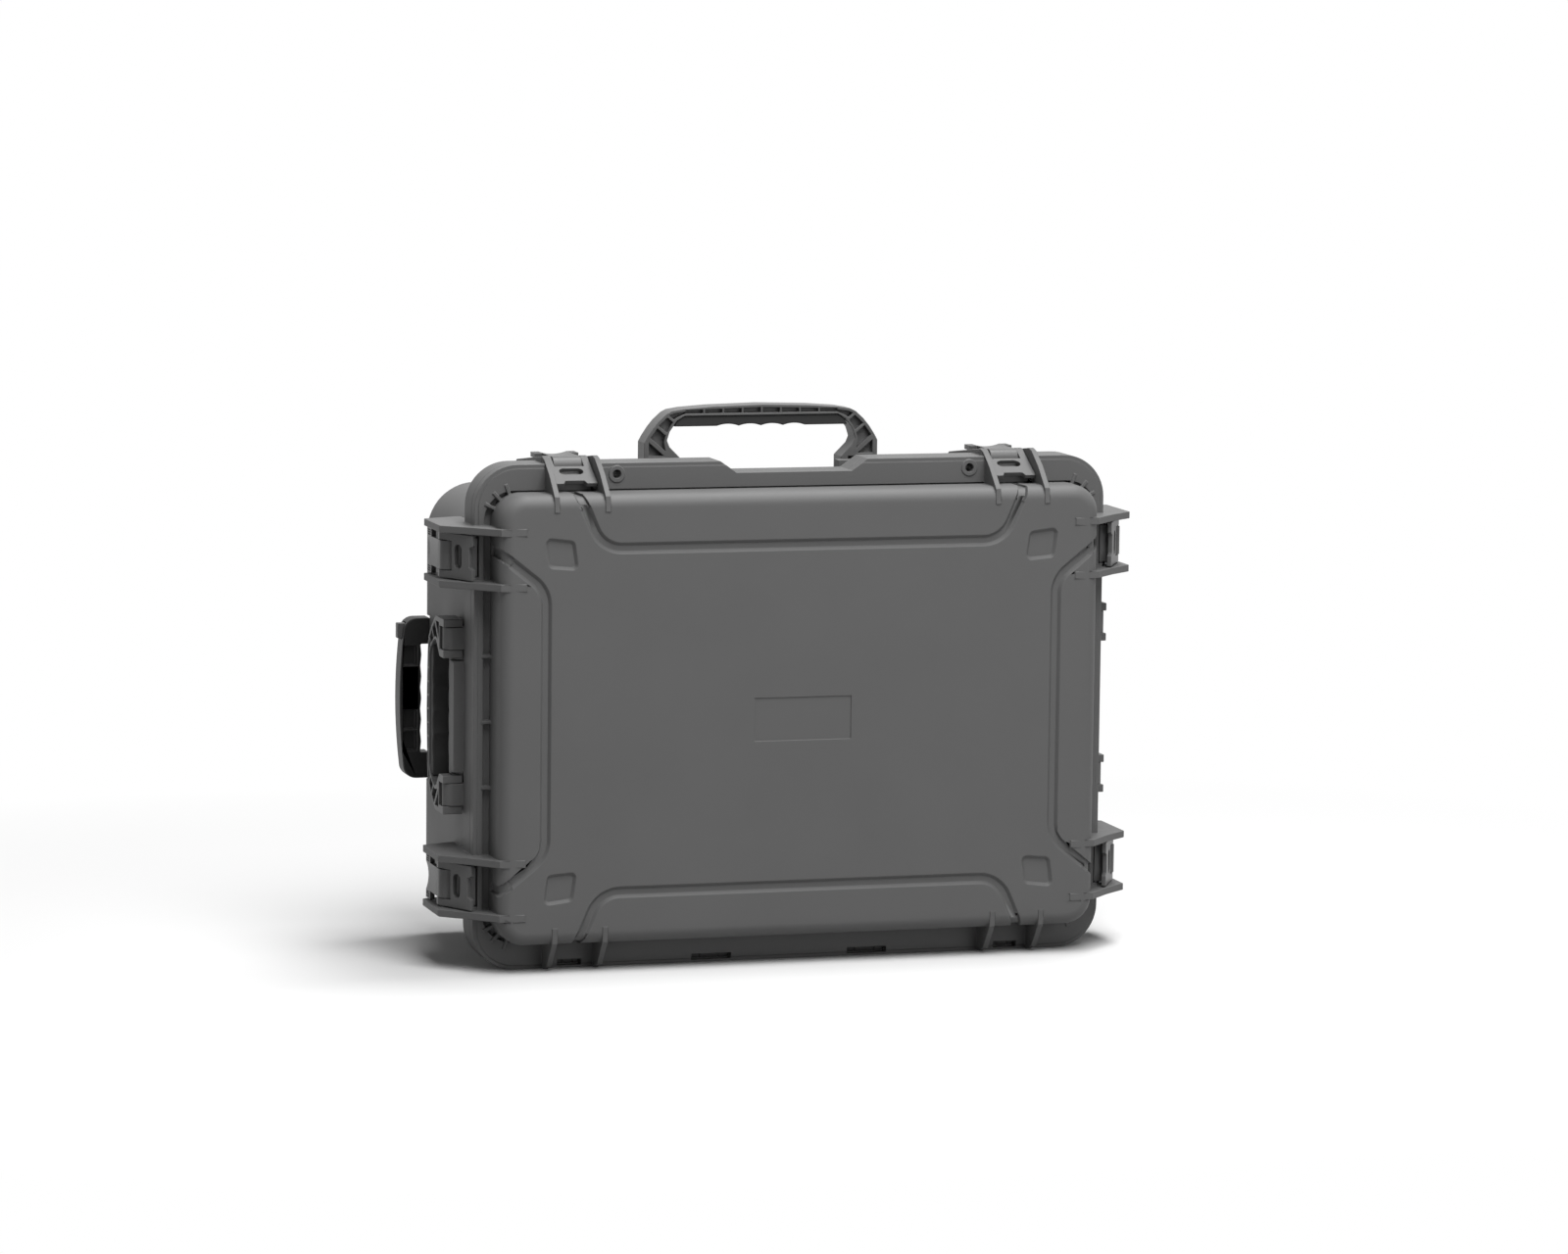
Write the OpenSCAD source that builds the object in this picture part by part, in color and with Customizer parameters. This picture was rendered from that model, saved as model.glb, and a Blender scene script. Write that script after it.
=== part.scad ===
// Large hard case for a laptop, with a hinged lid, six draw latches, three folding handles,
// a pull-out trolley handle and two wheels.
// Every module draws the case lying on its back: x across, y from the hinge edge to the handle
// edge, z from the feet to the face of the lid. stand() then sets it up on its hinge edge, so that
// the finished case has its lid towards -Y and its handle edge up.

/* [Case] */
// Width over the rim
case_w = 590; // [580:1:600]
// Height over the rim, hinge edge to handle edge
case_h = 454; // [448:1:460]
// Depth of the lid in front of its rim
lid_depth = 35; // [34:1:38]
// Thickness of the lid's face
face_t = 5.2; // [5:0.2:6]
// Thickness of the lid's rim
lid_rim = 12.6; // [12:0.2:14]
// Thickness of the base's rim
base_rim = 25.4; // [24:0.2:28]
// Depth of the base behind its rim
base_depth = 170; // [165:1:180]
// Height of the feet under the back
foot_h = 4; // [3:0.5:6]
// Corner radius of the rim
rim_r = 39; // [36:1:42]
// Wall thickness of the mouldings
wall = 4; // [3.5:0.5:5]

/* [Latches] */
// Width of a latch
latch_w = 40.5; // [38:0.5:41]
// Clear gap between the two guards beside a latch
guard_gap = 42.6; // [42:0.2:44]
// Thickness of a guard on the sides
guard_t = 6.4; // [6:0.2:7]
// Thickness of a fin on the top and bottom edges
fin_t = 5; // [4.5:0.5:6]
// How far a guard stands out from the rim
guard_out = 29; // [28:1:30]
// Distance of a top latch from the middle
top_latch_x = 205.25; // [200:0.25:210]
// Height of the lower latches on the sides
side_latch_low = 76.8; // [74:0.2:80]
// Height of the upper latches on the sides
side_latch_high = 372.4; // [370:0.2:376]
// Radius of the latch and hinge pins
pin_r = 2; // [1.8:0.1:2.2]
// Running clearance of a pin in its bore
pin_fit = 0.05; // [0.03:0.01:0.1]

/* [Handles] */
// Half the width of the top handle
top_handle_w = 111; // [108:1:114]
// Reach of the top handle from its pivot
top_handle_reach = 58; // [56:1:62]
// Thickness of the top handle
top_handle_t = 23; // [21:1:24]
// Half the width of a side handle
side_handle_w = 88; // [86:1:92]
// Reach of a side handle from its pivot
side_handle_reach = 58; // [56:1:60]
// Thickness of a side handle
side_handle_t = 18; // [17:1:19]
// Radius of the handle pins
handle_pin_r = 3; // [2.5:0.5:3.5]

/* [Trolley] */
// Height of the trolley handle's middle
trolley_y = 222; // [220:1:226]
// Width of the trolley grip
trolley_w = 148; // [144:1:152]
// Length of the sliding tubes
tube_len = 428; // [400:1:440]
// Outer radius of the sliding tubes
tube_r = 7; // [6:0.5:7.5]
// Travel of the release button
button_travel = 3; // [2:0.5:4]

/* [Wheels] */
// Wheel radius
wheel_r = 27; // [25:0.5:28]
// Wheel width
wheel_w = 24; // [20:1:26]
// Distance of each wheel from the middle of the height
wheel_y = 135; // [125:1:140]

/* [Inside] */
// Width of the laptop recess
laptop_w = 410; // [380:5:420]
// Height of the laptop recess
laptop_h = 285; // [260:5:300]
// Depth of the laptop recess
laptop_d = 42; // [35:1:44]

/* [Hidden] */

// Levels along the thickness, with the middle of the thickness at z = 0
guard_proud = 1;
total_d = guard_proud + lid_depth + lid_rim + base_rim + base_depth + foot_h;
z_face = total_d / 2 - guard_proud;
z_rim = z_face - lid_depth;
z_part = z_rim - lid_rim;
z_back_rim = z_part - base_rim;
z_back = z_back_rim - base_depth;
z_foot = z_back - foot_h;
// Half the gap between the lid and the base at the parting plane
part_gap = 0.1;
z_lid0 = z_part + part_gap;
z_base1 = z_part - part_gap;
half_w = case_w / 2;

// Outlines as [x0, y0, x1, y1], corner radii beside them
rim_box = [-half_w, 0, half_w, case_h];
pan_box = [-half_w + 15.5, 26.5, half_w - 15.5, case_h - 24.5];
pan_r = 25;
pan_edge_r = 12;
pan_in = [pan_box[0] + wall, pan_box[1] + wall, pan_box[2] - wall, pan_box[3] - wall];
base_box = [-half_w + 2.5, 34, half_w - 2.5, case_h - 34];
base_r = 45;
base_edge_r = 18;
// Where the base is parted into a back and four walls: above the wheel wells, and at the corners
base_split_z = z_back + 63;
base_split_y = [base_box[1] + base_r + 2, base_box[3] - base_r - 2];
base_in = [-half_w + 9, base_box[1] + wall, half_w - 9, base_box[3] - wall];
mouth = [-half_w + 16, base_in[1], half_w - 16, base_in[3]];
seal_box = [-half_w + 9.5, 21.5, half_w - 9.5, case_h - 22.5];
seal_w = 4;
seal_r = 33;
// Top of the foam tray: its die-cut layer is as thick as the recess is deep, on a plain backing
tray_top = z_base1 - 0.9;
// Clearance of the foam in the lid
foam_fit = 1.5;

// Grooves in the lid's face, with the radius and the steps of their bends
groove_w = 5;
groove_d = 2.9;
bend_r = 28;
bend_n = 8;
// Notch that carries each groove over the rounded edge of the lid
notch_w = 6.4;
notch_d = 2.4;
// Corner radius of the skewed recesses in the face, as deep as the grooves
recess_r = 2.7;
// Step round the outer edge of the lid's rim
step_w = 3.6;
step_d = 1;
// Valley between the rim and the raised part of the lid, wide at the sides only
valley_side = 7;
valley_end = 1;
valley_d = 5;

// Hinge: one axis along x at the parting plane, four knuckle sets
hinge_y = 7.5;
barrel_r = 5.5;
wide_hinge = [55.5, 64.2, 82.8, 91.5];
narrow_hinge = [195.5, 200.7, 211.3, 216.5];
hinge_relief_y = 10;
// Lower and upper edge of the slots through the lid's rim in front of the knuckles
hinge_slot = [2.2, 7.6];

// Latch: u stands out from the catch edge, w runs along the edge
top_catch_y = case_h - 21;
side_u0 = half_w;
pivot_u = 8.5;
pivot_z = z_part - 5.4;
joint_u = 16;
joint_z = z_part - 15.4;
hub_r = 9.3;
latch_out = joint_u + hub_r;
plate_t = 4.5;
stem_w = 13;
catch_z = z_part + 5.6;
claw_tip = [4.5, z_rim + 10];
claw_root = [latch_out, joint_z - 0.5];
nose_u = -3;
// Radius of the claw's middle gap, which the lever's plate turns in
claw_gap_r = 13.8;
// Places of the latches: catch edge point and turn about z
LATCH_AT = [[-top_latch_x, top_catch_y, 90], [top_latch_x, top_catch_y, 90],
    [-side_u0, side_latch_high, 180], [-side_u0, side_latch_low, 180],
    [side_u0, side_latch_high, 0], [side_u0, side_latch_low, 0]];

// Handles
top_pivot = [case_h - 17, z_rim - 117];
side_pivot = [half_w + 9.5, z_rim - 46];
side_mid_y = 224.5;
foot_w = 35;
lug_w = 20;
lug_r = 8;
foot_drop = 7;
// Radius that the corner of a handle's foot sweeps round its pivot, with room to spare
foot_sweep = norm([foot_drop, top_handle_t / 2]) + 0.7;

// Trolley
tube_z = z_back + 13;
tube_y = [trolley_y - 62, trolley_y + 62];
sleeve_r = tube_r + 1.8;
sleeve_bore = tube_r + 0.3;
grip_x = -half_w - 24.5;
grip_bar = 19.5;
grip_bow = 3.6;
button_x = grip_x - 1;
button_len = 8;
grip_t = 20;
leg_w = 24;
channel = [-half_w, trolley_y - 76, 160, trolley_y + 76];
channel_z = z_back + 26;
sleeve_x = [-half_w + 33, 155];
// Three saddles carry the sleeves, and each takes two screws of the cover
saddle_x = [sleeve_x[0], -60, 140];
saddle_t = 9;
cover_screw_at = [for (x = saddle_x) for (y = [-28, 28]) [x + saddle_t / 2, trolley_y + y]];

// Wheels and feet
wheel_x = half_w - 25;
wheel_z = z_back + wheel_r - foot_h;
wheel_mid_y = 227;
axle_r = 4;
well_gap = 3;
foot_r = 11;
FOOT_AT = [[-235, 84], [-235, 370], [205, 84], [205, 370]];

PLASTIC = [0.37, 0.38, 0.39];
DARK = [0.12, 0.12, 0.13];
STEEL = [0.72, 0.73, 0.74];
FOAM = [0.17, 0.17, 0.18];
RUBBER = [0.08, 0.08, 0.08];

// Points of an arc about (x, y), from angle a to angle b in n steps
function arc(x, y, r, a, b, n) = [for (i = [0:n]) let (t = a + (b - a) * i / n)
    [x + r * cos(t), y + r * sin(t)]];

// Sets the lying case up on its hinge edge
module stand() { rotate([90, 0, 0]) children(); }

// Sweeps a flat profile round a rounded rectangle. The profile's x is the distance out from the
// corner centres, so that x = r lies on the outline, and its y is the height.
module sweep_round(box, r) {
    w = box[2] - box[0] - 2 * r;
    h = box[3] - box[1] - 2 * r;
    corners = [[box[2] - r, box[3] - r], [box[0] + r, box[3] - r],
        [box[0] + r, box[1] + r], [box[2] - r, box[1] + r]];
    for (i = [0:3])
        translate([corners[i][0], corners[i][1], 0]) rotate(90 * i) {
            rotate_extrude(angle = 90, $fn = 64) children();
            rotate([90, 0, 0]) linear_extrude(i % 2 == 0 ? h : w) children();
        }
}

// Rounded block from z0 to z1, with its edge rounded by e at the top or at the bottom
module block(box, r, z0, z1, e_top = 0, e_bottom = 0) {
    translate([box[0] + r, box[1] + r, z0])
        cube([box[2] - box[0] - 2 * r, box[3] - box[1] - 2 * r, z1 - z0]);
    sweep_round(box, r) block_profile(r, z0, z1, e_top, e_bottom);
}

// Half section of a rounded block, from the corner centre out
module block_profile(r, z0, z1, e_top, e_bottom) {
    translate([0, z0 + e_bottom]) square([r, z1 - z0 - e_top - e_bottom]);
    if (e_top > 0) {
        translate([0, z1 - e_top]) square([r - e_top, e_top]);
        translate([r - e_top, z1 - e_top]) quarter(e_top);
    }
    if (e_bottom > 0) {
        translate([0, z0]) square([r - e_bottom, e_bottom]);
        translate([r - e_bottom, z0 + e_bottom]) mirror([0, 1]) quarter(e_bottom);
    }
}

module quarter(r) {
    intersection() {
        circle(r, $fn = 64);
        square(r);
    }
}

// Band of width w along a line of points, its bends rounded to bend_r, as an outline
function left_of(a, b) = let (d = (b - a) / norm(b - a)) [-d[1], d[0]];
function turned(v, a) = [v[0] * cos(a) - v[1] * sin(a), v[0] * sin(a) + v[1] * cos(a)];
function bend_at(p, q, s) = let (n0 = left_of(p, q), n1 = left_of(q, s),
    a = atan2(n0[0] * n1[1] - n0[1] * n1[0], n0 * n1), side = a > 0 ? 1 : -1,
    centre = q + side * bend_r * (n0 + n1) / (1 + n0 * n1))
    [for (i = [0:bend_n]) let (n = turned(n0, a * i / bend_n)) [centre - side * bend_r * n, n]];
function stations(p) = concat([[p[0], left_of(p[0], p[1])]],
    [for (k = [1:len(p) - 2]) each bend_at(p[k - 1], p[k], p[k + 1])],
    [[p[len(p) - 1], left_of(p[len(p) - 2], p[len(p) - 1])]]);
function band(points, w) = let (s = stations(points), n = len(s) - 1)
    concat([for (i = [0:n]) s[i][0] - s[i][1] * w / 2],
        [for (i = [n:-1:0]) s[i][0] + s[i][1] * w / 2]);

// Groove along a bent line, cut into the face of the lid
module groove(points) {
    translate([0, 0, z_face - groove_d]) linear_extrude(groove_d + 2) polygon(band(points, groove_w));
}

// Notch over the rounded edge, where a groove leaves the face at q on its way from p
module edge_notch(p, q) {
    d = (q - p) / norm(q - p);
    translate([q[0], q[1], z_rim + 0.1]) rotate(atan2(d[1], d[0]))
        translate([-11.5, -notch_w / 2, 0]) cube([17.5, notch_w, lid_depth + 1]);
}

// Outline with round corners. The points are the corner centres, anticlockwise.
function rounded(points, r) = let (n = len(points)) [for (i = [0:n - 1])
    let (a = points[i], b = points[(i + 1) % n], c = points[(i + 2) % n],
        t = atan2(b[1] - a[1], b[0] - a[0]), u = atan2(c[1] - b[1], c[0] - b[0]))
    each arc(b[0], b[1], r, t - 90, t - 90 + (u - t + 360) % 360, 4)];

// Plate standing on the side of the case: a flat outline in (x, z), set across y
module side_plate(outline, y, t) {
    translate([0, y + t / 2, 0]) rotate([90, 0, 0]) linear_extrude(t) polygon(outline);
}

// Plate standing on the top or bottom edge: a flat outline in (y, z), set across x
module edge_plate(outline, x, t) {
    translate([x - t / 2, 0, 0]) rotate([90, 0, 90]) linear_extrude(t) polygon(outline);
}

module both_sides() {
    children();
    mirror([1, 0, 0]) children();
}

// Lid

lid_guard = [[half_w - 39, z_face + guard_proud], [half_w - 16, z_face - 1], [half_w + 6, z_rim + 10],
    [half_w + guard_out, z_part + 2.3], [half_w + guard_out, z_lid0], [half_w - 21.5, z_lid0],
    [half_w - 21.5, z_face - 8], [half_w - 39, z_face - 2]];
lid_top_fin = [[case_h - 40, z_face + guard_proud], [case_h - 26, z_face - 0.5],
    [case_h - 8, z_rim + 14], [case_h + 4, z_part + 8], [case_h + 6, z_lid0], [case_h - 27, z_lid0],
    [case_h - 27, z_face - 8], [case_h - 40, z_face - 2]];
lid_bottom_fin = [[42, z_face + guard_proud], [28, z_face - 0.5], [5, z_rim + 16], [0, z_rim + 2],
    [0, z_lid0], [29, z_lid0], [29, z_face - 8], [42, z_face - 2]];
guard_ys = [for (y = [side_latch_low, side_latch_high]) for (s = [-1, 1])
    y + s * (guard_gap + guard_t) / 2];
fin_xs = [top_latch_x - 23.25, top_latch_x + 23.25];

module lid_outside() {
    block(pan_box, pan_r, z_lid0, z_face, e_top = pan_edge_r);
    block(rim_box, rim_r, z_lid0, z_rim - step_d);
    block([rim_box[0] + step_w, rim_box[1] + step_w, rim_box[2] - step_w, rim_box[3] - step_w],
        rim_r - step_w, z_lid0, z_rim);
    both_sides() {
        for (y = guard_ys) side_plate(lid_guard, y, guard_t);
        for (x = fin_xs) {
            edge_plate(lid_top_fin, x, fin_t);
            edge_plate(lid_bottom_fin, x, fin_t);
        }
        translate([165.2, case_h - 9.8, z_rim - 2]) cylinder(r = 7.5, h = 3.2, $fn = 48);
    }
}

// Stiffening ribs across the valley, standing a little over the rim
module lid_ribs() {
    both_sides() {
        for (y = [-59, 0, 59]) translate([pan_box[2] - 1, side_mid_y + y - 1.5, z_rim - valley_d - 0.5])
            cube([valley_side + 2.5, 3, valley_d + 1.5]);
        for (top = [0, 1]) for (a = [26, 47, 69])
            translate([pan_box[2] - pan_r, top ? pan_box[3] - pan_r : pan_box[1] + pan_r, 0])
                rotate(top ? a : -a) translate([pan_r - 1.5, -1.5, z_rim - valley_d - 0.5])
                    cube([11, 3, valley_d + 1.9]);
    }
}

// Cuts in the face: grooves, four skewed recesses and a bare sunk field
SIDE_GROOVE = [[half_w - 17, 377], [238, 345], [238, 109], [half_w - 17, 77]];
TOP_GROOVE = [[-207, 428], [-187, 381.4], [187, 381.4], [207, 428]];
BOTTOM_GROOVE = [[-207, 27], [-187, 72.8], [187, 72.8], [207, 27]];
// Corner centres of the upper recess on the right, the lower one being its mirror image
RECESS = [[-9.7, -9], [7.3, -7.5], [9.7, 9.3], [-7.3, 7.2]];

module face_cuts() {
    both_sides() {
        groove(SIDE_GROOVE);
        for (m = [0, 1]) translate([224, m == 0 ? 377 : 78, 0]) mirror([0, m, 0])
            translate([0, 0, z_face - groove_d]) linear_extrude(groove_d + 2)
                polygon(rounded(RECESS, recess_r));
    }
    groove(TOP_GROOVE);
    groove(BOTTOM_GROOVE);
    translate([-45, 205, z_face - 1]) cube([90, 39, 2]);
    difference() {
        both_sides() {
            edge_notch(SIDE_GROOVE[1], SIDE_GROOVE[0]);
            edge_notch(SIDE_GROOVE[2], SIDE_GROOVE[3]);
            edge_notch(TOP_GROOVE[2], TOP_GROOVE[3]);
            edge_notch(BOTTOM_GROOVE[2], BOTTOM_GROOVE[3]);
        }
        block([pan_box[0] + notch_d, pan_box[1] + notch_d, pan_box[2] - notch_d, pan_box[3] - notch_d],
            pan_r - notch_d, z_rim - 8, z_face - notch_d, e_top = pan_edge_r - notch_d);
    }
}

// Pockets in the rim for the noses of the claws, and the notches between the top fins
module lid_latch_cuts() {
    for (p = LATCH_AT)
        translate([p[0], p[1], 0]) rotate(p[2])
            translate([-4, -18.5, catch_z]) cube([30, 37, z_rim - catch_z + 1]);
    both_sides()
        translate([top_latch_x - guard_gap / 2 + 0.55, top_catch_y, z_back_rim - 1])
            cube([guard_gap - 1.1, 30, z_rim - z_back_rim + 2]);
}

// Cuts that both rims share: the carrying notch and the two padlock holes
module rim_cuts() {
    translate([0, case_h, z_back_rim - 1]) linear_extrude(z_rim - z_back_rim + 2)
        polygon([[-72, 2], [-69, 0], [-54, -10.5], [54, -10.5], [69, 0], [72, 2]]);
    both_sides() translate([165.2, case_h - 9.8, z_back_rim - 2]) cylinder(r = 3.8, h = 46, $fn = 48);
}

module lid_shell() {
    color(PLASTIC) stand() {
        difference() {
            lid_outside();
            block(pan_in, pan_r - wall, z_lid0 - 1, z_face - face_t, e_top = pan_edge_r - wall);
            difference() {
                block([pan_box[0] - valley_side, pan_box[1] - valley_end, pan_box[2] + valley_side,
                    pan_box[3] + valley_end], pan_r + 2, z_rim - valley_d, z_rim + 1);
                block(pan_box, pan_r, z_rim - valley_d - 1, z_rim + 2);
                both_sides() {
                    for (y = guard_ys) side_plate(lid_guard, y, guard_t);
                    for (x = fin_xs) {
                        edge_plate(lid_top_fin, x, fin_t);
                        edge_plate(lid_bottom_fin, x, fin_t);
                    }
                }
            }
            sweep_round(seal_box, seal_r) translate([seal_r - seal_w - 0.4, z_part - 1]) square([4.4, 6]);
            lid_latch_cuts();
            rim_cuts();
            face_cuts();
            both_sides() for (h = [wide_hinge, narrow_hinge]) {
                translate([h[0] - 0.5, 1.6, z_part - 1]) cube([h[3] - h[0] + 1, 12, barrel_r + 1.6]);
                translate([h[0] - 0.5, hinge_slot[0], z_part])
                    cube([h[3] - h[0] + 1, hinge_slot[1] - hinge_slot[0], lid_rim + 2]);
            }
        }
        lid_ribs();
        both_sides() for (h = [wide_hinge, narrow_hinge]) difference() {
            union() {
                translate([h[1] + 0.4, hinge_y, z_part]) rotate([0, 90, 0])
                    cylinder(r = barrel_r, h = h[2] - h[1] - 0.8, $fn = 48);
                translate([h[1] + 0.4, hinge_y, z_lid0]) cube([h[2] - h[1] - 0.8, 8, barrel_r - 0.5]);
            }
            translate([h[0], hinge_y, z_part]) rotate([0, 90, 0])
                cylinder(r = pin_r + pin_fit, h = h[3] - h[0], $fn = 48);
        }
    }
}

module lid_gasket() {
    color(RUBBER) stand() sweep_round(seal_box, seal_r)
        translate([seal_r - seal_w - 0.2, z_part + 2.2]) square([4, 2.7]);
}

// Foam slab that fills the lid down to just above the parting plane
module lid_foam() {
    color(FOAM) stand()
        block([pan_in[0] + foam_fit, pan_in[1] + foam_fit, pan_in[2] - foam_fit, pan_in[3] - foam_fit],
            pan_r - wall - 1, z_part + 2, z_face - face_t, e_top = pan_edge_r - wall + 1);
}

// Base

base_guard = [[half_w + guard_out, z_base1], [half_w + guard_out, z_part - 59.4],
    [half_w - 2, z_part - 71.4], [half_w - 8, z_part - 71.4], [half_w - 8, z_base1]];
base_top_fin = [[case_h + 6, z_base1], [case_h - 5, z_part - 91.4], [case_h - 11, z_part - 99.4],
    [case_h - 36, z_part - 99.4], [case_h - 36, z_base1]];
base_rib = [[0, z_back_rim + 8], [0, z_back + 25], [10, z_back + 15], [37, z_back + 12],
    [37, z_back_rim + 8]];

module base_outside() {
    block(base_box, base_r, z_back, z_back_rim + 5, e_bottom = base_edge_r);
    difference() {
        block(rim_box, rim_r, z_back_rim, z_base1);
        translate([-half_w - 1, -1, z_back_rim + 10]) cube([case_w + 2, hinge_relief_y + 1, base_rim]);
    }
    both_sides() {
        for (y = guard_ys) side_plate(base_guard, y, guard_t);
        for (x = fin_xs) edge_plate(base_top_fin, x, fin_t);
        for (x = [189.5, 221]) edge_plate(base_rib, x, fin_t);
    }
    sweep_round(seal_box, seal_r) translate([seal_r - seal_w + 0.6, z_base1 - 1]) square([2.4, 3]);
}

// Box round each wheel well and round the trolley channel, inside the base
module base_bumps() {
    translate([channel[0] + 8, channel[1] - wall, z_back + 1])
        cube([channel[2] - channel[0] - 8 + wall, channel[3] - channel[1] + 2 * wall,
            channel_z - z_back + wall - 1]);
    for (s = [-1, 1])
        translate([wheel_x - 32, wheel_mid_y + s * wheel_y - 21, z_back + 1]) cube([56, 42, 60]);
}

module wheel_wells() {
    for (s = [-1, 1]) translate([wheel_x, wheel_mid_y + s * wheel_y, wheel_z]) {
        translate([0, -wheel_w / 2 - 1.5, 0]) rotate([-90, 0, 0])
            cylinder(r = wheel_r + well_gap - 1.4, h = wheel_w + 3, $fn = 64);
        translate([-wheel_r, -wheel_w / 2 - 1.5, -40]) cube([70, wheel_w + 3, 40]);
        translate([0, -wheel_w / 2 - 1.5, -wheel_r]) cube([40, wheel_w + 3, 2 * wheel_r]);
        translate([0, -18, 0]) rotate([-90, 0, 0]) cylinder(r = axle_r, h = 36, $fn = 48);
    }
}

// The trolley's channel in the back, its cover seat and the saddles that hold the sleeves
module trolley_cuts() {
    difference() {
        translate([channel[0] - 1, channel[1], z_back - 1])
            cube([channel[2] - channel[0] + 1, channel[3] - channel[1], channel_z - z_back + 1]);
        for (x = saddle_x)
            translate([x, channel[1] - 1, z_back + 3]) cube([saddle_t, channel[3] - channel[1] + 2, 40]);
    }
    translate([sleeve_x[0] + 0.5, channel[1] - 5, z_back - 1])
        cube([channel[2] - sleeve_x[0] + 5, channel[3] - channel[1] + 10, 4]);
    for (y = tube_y) translate([sleeve_x[0] - 1, y, tube_z]) rotate([0, 90, 0])
        cylinder(r = sleeve_r + 0.05, h = sleeve_x[1] - sleeve_x[0] + 3, $fn = 48);
    for (p = cover_screw_at) translate([p[0], p[1], z_back - 1]) cylinder(r = 1.7, h = 12, $fn = 32);
}

// Ear that carries a handle: a block from the wall with a round end, drawn about the pivot axis x
module lug(len, drop) {
    difference() {
        union() {
            translate([-len / 2, 0, 0]) rotate([0, 90, 0]) cylinder(r = lug_r, h = len, $fn = 48);
            translate([-len / 2, -drop, -lug_r]) cube([len, drop, 2 * lug_r]);
        }
        translate([-len / 2 - 1, 0, 0]) rotate([0, 90, 0])
            cylinder(r = handle_pin_r + pin_fit, h = len + 2, $fn = 48);
    }
}

module handle_lugs() {
    both_sides() {
        translate([top_handle_w - 42, base_box[3] - 1, top_pivot[1] + foot_sweep])
            cube([47, top_pivot[0] + 7 - base_box[3] + 1, 12]);
        translate([base_box[2] - 1, side_mid_y - 50, side_pivot[1] - lug_r])
            cube([side_pivot[0] - base_box[2] + 1, 100, z_back_rim - side_pivot[1] + lug_r + 0.5]);
        translate([top_handle_w - foot_w / 2, top_pivot[0], top_pivot[1]]) lug(lug_w, 19);
        for (s = [-1, 1])
            translate([side_pivot[0], side_mid_y + s * (side_handle_w - foot_w / 2), side_pivot[1]])
                rotate(-90) lug(lug_w, 14);
    }
}

module hinge_lugs() {
    both_sides() for (h = [wide_hinge, narrow_hinge]) difference() {
        union() for (e = [0, 2]) {
            translate([h[e], hinge_y, z_part]) rotate([0, 90, 0])
                cylinder(r = barrel_r, h = h[e + 1] - h[e], $fn = 48);
            translate([h[e], hinge_y, z_part - 4.9]) cube([h[e + 1] - h[e], 8, 4.8]);
        }
        translate([h[0] - 1, hinge_y, z_part]) rotate([0, 90, 0])
            cylinder(r = pin_r + pin_fit, h = h[3] - h[0] + 2, $fn = 48);
    }
}

module base_solid() {
    union() {
        difference() {
            union() {
                difference() {
                    base_outside();
                    block(base_in, base_r - 7, z_back + wall, z_back_rim, e_bottom = base_edge_r - wall);
                    block(mouth, 32, z_back_rim - 1, z_part + 5);
                }
                intersection() {
                    base_bumps();
                    block(base_box, base_r, z_back, z_back_rim, e_bottom = base_edge_r);
                }
            }
            trolley_cuts();
            wheel_wells();
            rim_cuts();
            both_sides()
                translate([top_latch_x - guard_gap / 2 + 0.55, top_catch_y, z_back_rim - 1])
                    cube([guard_gap - 1.1, 30, base_rim + 2]);
            for (p = LATCH_AT)
                translate([p[0], p[1], 0]) rotate(p[2]) translate([pivot_u, -24.6, pivot_z])
                    rotate([-90, 0, 0]) cylinder(r = pin_r + pin_fit, h = 49.2, $fn = 32);
            both_sides() for (h = [wide_hinge, narrow_hinge])
                translate([h[1] - 0.1, 0, z_part - 6.4]) cube([h[2] - h[1] + 0.2, 13.6, 10]);
            translate([0, base_box[3] + 1, 15]) rotate([90, 0, 0]) cylinder(r = 6, h = 8, $fn = 32);
        }
        handle_lugs();
        hinge_lugs();
    }
}

// The part of the base between two opposite corners
module base_part(low, high) {
    color(PLASTIC) stand() intersection() {
        base_solid();
        translate(low) cube(high - low);
    }
}

module base_back() { base_part([-case_w, -case_h, z_foot], [case_w, 2 * case_h, base_split_z]); }
module base_wall_top() { base_part([-case_w, base_split_y[1], base_split_z], [case_w, 2 * case_h, z_rim]); }
module base_wall_bottom() { base_part([-case_w, -case_h, base_split_z], [case_w, base_split_y[0], z_rim]); }
module base_wall_left() { base_part([-case_w, base_split_y[0], base_split_z], [0, base_split_y[1], z_rim]); }
module base_wall_right() { base_part([0, base_split_y[0], base_split_z], [case_w, base_split_y[1], z_rim]); }

module base_foam() {
    color(FOAM) stand() difference() {
        block([base_in[0] + 1, base_in[1] + 1, base_in[2] - 1, base_in[3] - 1], base_r - 8,
            z_back + wall + 0.5, 20, e_bottom = base_edge_r - wall);
        translate([-half_w, channel[1] - wall - 1, z_back])
            cube([half_w + channel[2] + wall + 1, channel[3] - channel[1] + 2 * wall + 2,
                channel_z - z_back + wall + 1]);
        for (s = [-1, 1])
            translate([wheel_x - 33, wheel_mid_y + s * wheel_y - 22, z_back]) cube([80, 44, 62]);
    }
}

module tray_layer(z0, z1) {
    block([mouth[0] + 1, mouth[1] + 1, mouth[2] - 1, mouth[3] - 1], 31, z0, z1);
}

module tray_backing() { color(FOAM) stand() tray_layer(20.5, tray_top - laptop_d); }

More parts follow.
